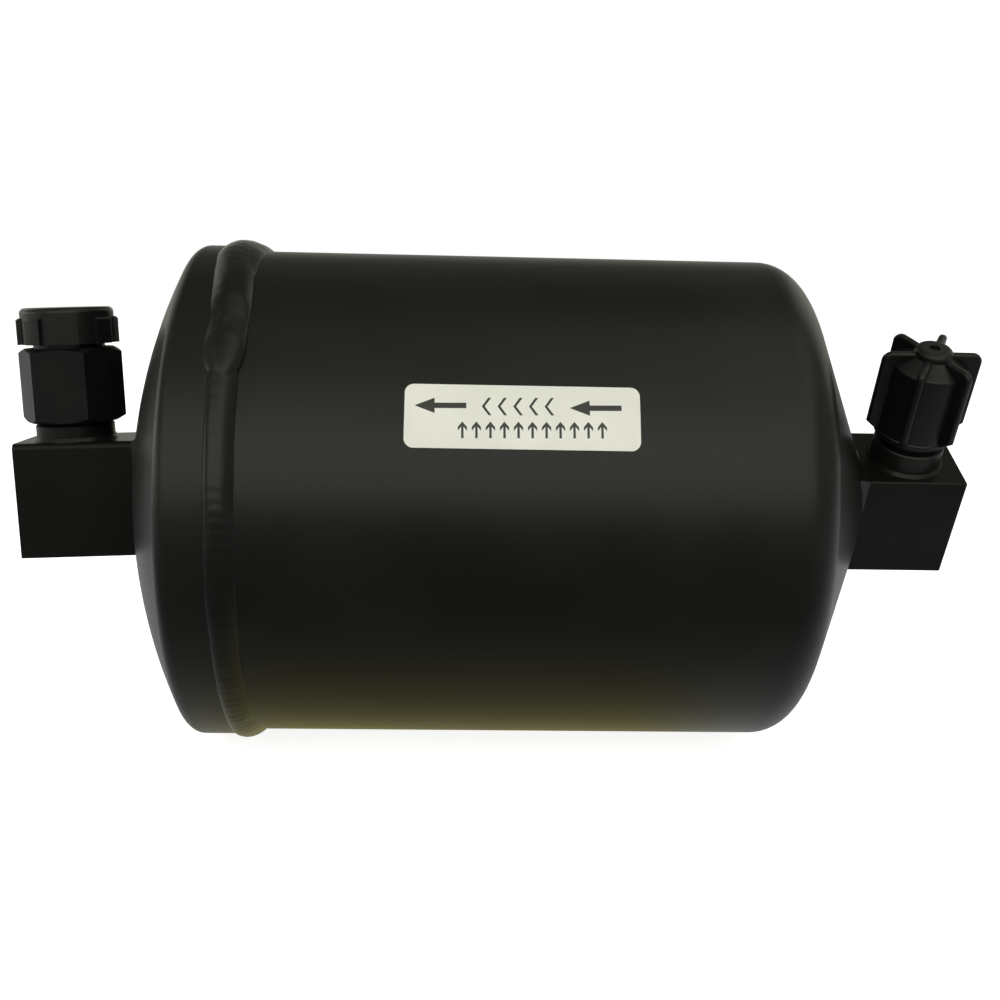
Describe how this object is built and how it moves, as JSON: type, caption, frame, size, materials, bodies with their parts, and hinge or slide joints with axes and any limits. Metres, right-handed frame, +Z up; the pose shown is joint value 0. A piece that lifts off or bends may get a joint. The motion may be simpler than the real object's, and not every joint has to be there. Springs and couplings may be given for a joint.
{
  "type": "filter drier",
  "caption": "Steel can filter drier with domed ends, a capped male threaded inlet and a swivel-nut outlet closed by a lugged plug, both on blocks turned square to the can.",
  "frame": {"origin": "on the can's axis inside its straight barrel, at the point that the band mount names", "axes": "+X along the can's axis towards the inlet end, +Z up along the outlet port's direction before its small weld tilt, +Y away from the labelled side"},
  "size_m": [0.2377, 0.1248, 0.1248],
  "materials": {
    "shell_paint": "satin black paint on drawn steel",
    "weld_paint": "satin black paint over a weld bead",
    "fitting_paint": "satin black paint on machined bar",
    "braze_paint": "satin black paint over braze",
    "nut_black": "black finish on a turned steel nut",
    "cap_plastic": "moulded black plastic",
    "plug_plastic": "moulded black plastic, slightly glossy",
    "seal_rubber": "black sealing rubber",
    "spring_steel": "bright drawn spring wire",
    "plate_steel": "bare pressed steel",
    "screen_steel": "fine woven wire",
    "filter_pad": "white felted fibre",
    "desiccant": "packed round beads",
    "label_film": "white printed film, satin"
  },
  "bodies": {
    "drier": {"can_body": "shell_paint", "end_cap": "shell_paint", "seam_weld": "weld_paint", "inlet_block": "fitting_paint", "inlet_block_weld": "weld_paint", "inlet_spud": "fitting_paint", "inlet_braze": "braze_paint", "outlet_block": "fitting_paint", "outlet_block_weld": "weld_paint", "outlet_spud": "fitting_paint", "outlet_braze": "braze_paint", "outlet_o_ring": "seal_rubber", "inlet_spring": "spring_steel", "inlet_plate": "plate_steel", "inlet_pad": "filter_pad", "desiccant_bed": "desiccant", "outlet_pad": "filter_pad", "outlet_screen": "screen_steel", "outlet_cup": "plate_steel", "label": "label_film"},
    "swivel_nut": {"swivel_nut": "nut_black"},
    "plug_seal": {"plug_seal": "seal_rubber"},
    "outlet_plug": {"outlet_plug": "plug_plastic"},
    "cap_seal": {"cap_seal": "seal_rubber"},
    "inlet_cap": {"inlet_cap": "cap_plastic"}
  },
  "joints": [
    {"name": "nut_spin", "type": "hinge", "parent": "drier", "child": "swivel_nut", "pos_m": [-0.10735, 0, -0.00079], "axis": [-0.0436, 0, 0.999], "continuous": true},
    {"name": "plug_rise", "type": "slide", "parent": "swivel_nut", "child": "plug_seal", "axis": [-0.0436, 0, 0.999], "range_m": [0, 0.00794]},
    {"name": "plug_turn", "type": "hinge", "parent": "plug_seal", "child": "outlet_plug", "pos_m": [-0.10735, 0, -0.00079], "axis": [-0.0436, 0, 0.999], "range_deg": [0, 1800]},
    {"name": "cap_rise", "type": "slide", "parent": "drier", "child": "cap_seal", "axis": [0, -0.4587, 0.8886], "range_m": [0, 0.01976]},
    {"name": "cap_turn", "type": "hinge", "parent": "cap_seal", "child": "inlet_cap", "pos_m": [0.103, 0, 0], "axis": [0, -0.4587, 0.8886], "range_deg": [0, 5040]}
  ],
  "couplings": [
    {"joint": "plug_rise", "follows": "plug_turn", "m_per_rad": 0.00025266},
    {"joint": "cap_rise", "follows": "cap_turn", "m_per_rad": 0.00022459}
  ]
}
